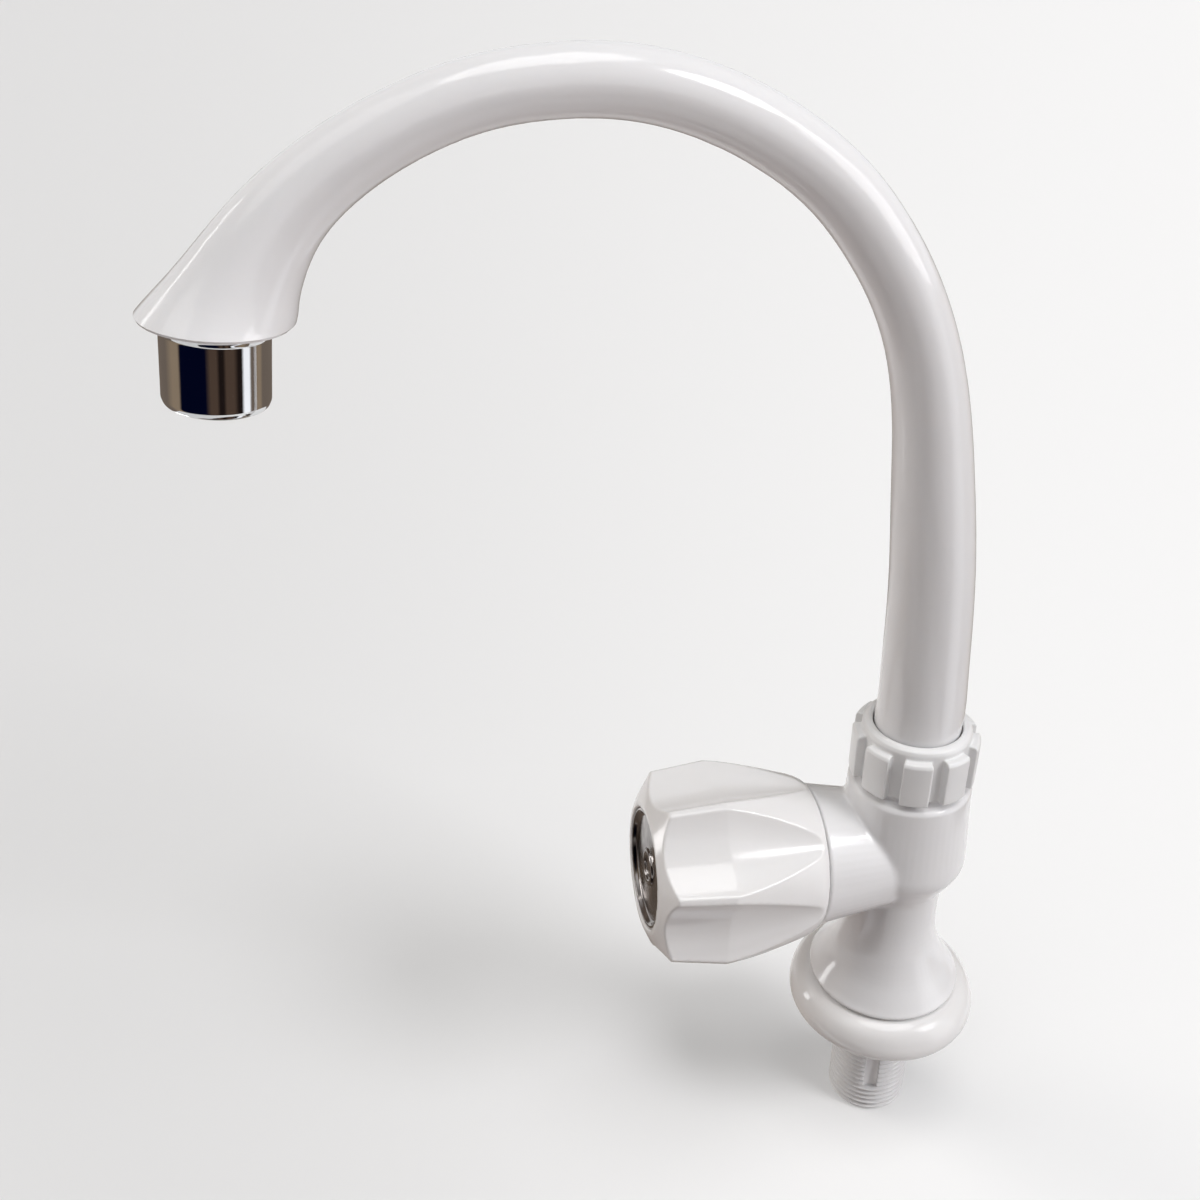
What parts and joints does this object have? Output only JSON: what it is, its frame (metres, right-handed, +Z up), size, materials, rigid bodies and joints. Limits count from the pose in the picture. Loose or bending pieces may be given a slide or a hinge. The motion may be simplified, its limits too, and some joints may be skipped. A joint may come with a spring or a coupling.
{
  "type": "sink tap",
  "caption": "Deck-mounted sink tap with a swivelling gooseneck spout, a faceted turning knob on a side valve, and a threaded inlet shank under a round base.",
  "frame": {"origin": "on the tap's upright axis, in the plane of the base gasket's underside, where the deck is", "axes": "+Z up along the body and the spout's swivel axis, -X towards the knob, whose axis leans 3.5 degrees up from it, and, at rest, towards the outlet"},
  "size_m": [0.1821, 0.0493, 0.2807],
  "materials": {
    "body_plastic": "glossy moulded plastic",
    "ring_plastic": "glossy moulded plastic",
    "gasket_rubber": "soft flat rubber",
    "nut_plastic": "satin moulded plastic",
    "washer_plastic": "smooth acetal",
    "spout_plastic": "glossy moulded plastic",
    "split_ring_plastic": "smooth acetal",
    "o_ring_rubber": "greased rubber",
    "aerator_chrome": "polished chrome plate",
    "aerator_rubber": "flat rubber",
    "insert_plastic": "matt moulded plastic",
    "screen_steel": "woven wire",
    "knob_plastic": "glossy moulded plastic",
    "cap_metallised": "dark metallised plastic",
    "screw_steel": "plain steel",
    "bonnet_plastic": "moulded plastic",
    "bonnet_rubber": "flat rubber",
    "spindle_brass": "turned brass",
    "spindle_rubber": "greased rubber",
    "clip_steel": "spring steel",
    "plunger_brass": "turned brass",
    "seat_rubber": "flat rubber",
    "washer_screw_brass": "turned brass"
  },
  "bodies": {
    "tap": {"tap_body": "body_plastic", "base_ring": "ring_plastic", "base_gasket": "gasket_rubber", "spout_nut": "nut_plastic", "spout_slip_washer": "washer_plastic", "bonnet": "bonnet_plastic", "bonnet_seal": "bonnet_rubber"},
    "spout": {"spout": "spout_plastic", "spout_split_ring": "split_ring_plastic", "spout_o_ring_lower": "o_ring_rubber", "spout_o_ring_upper": "o_ring_rubber", "aerator_shell": "aerator_chrome", "aerator_seal": "aerator_rubber", "aerator_insert": "insert_plastic", "aerator_screen": "screen_steel"},
    "handle": {"knob": "knob_plastic", "index_cap": "cap_metallised", "knob_screw": "screw_steel", "spindle": "spindle_brass", "spindle_o_ring_inner": "spindle_rubber", "spindle_o_ring_outer": "spindle_rubber", "spindle_clip": "clip_steel"},
    "valve": {"plunger": "plunger_brass", "seat_washer": "seat_rubber", "washer_screw": "washer_screw_brass"}
  },
  "joints": [
    {"name": "spout_swivel", "type": "hinge", "parent": "tap", "child": "spout", "pos_m": [0, 0, 0.08], "axis": [0, 0, 1], "continuous": true},
    {"name": "knob_turn", "type": "hinge", "parent": "tap", "child": "handle", "pos_m": [0, 0, 0.0541], "axis": [-0.9981, 0, 0.061], "range_deg": [0, 540]},
    {"name": "plunger_lift", "type": "slide", "parent": "tap", "child": "valve", "axis": [-0.9981, 0, 0.061], "range_m": [0, 0.0036]}
  ],
  "couplings": [
    {"joint": "plunger_lift", "follows": "knob_turn", "m_per_rad": 0.00038197}
  ]
}
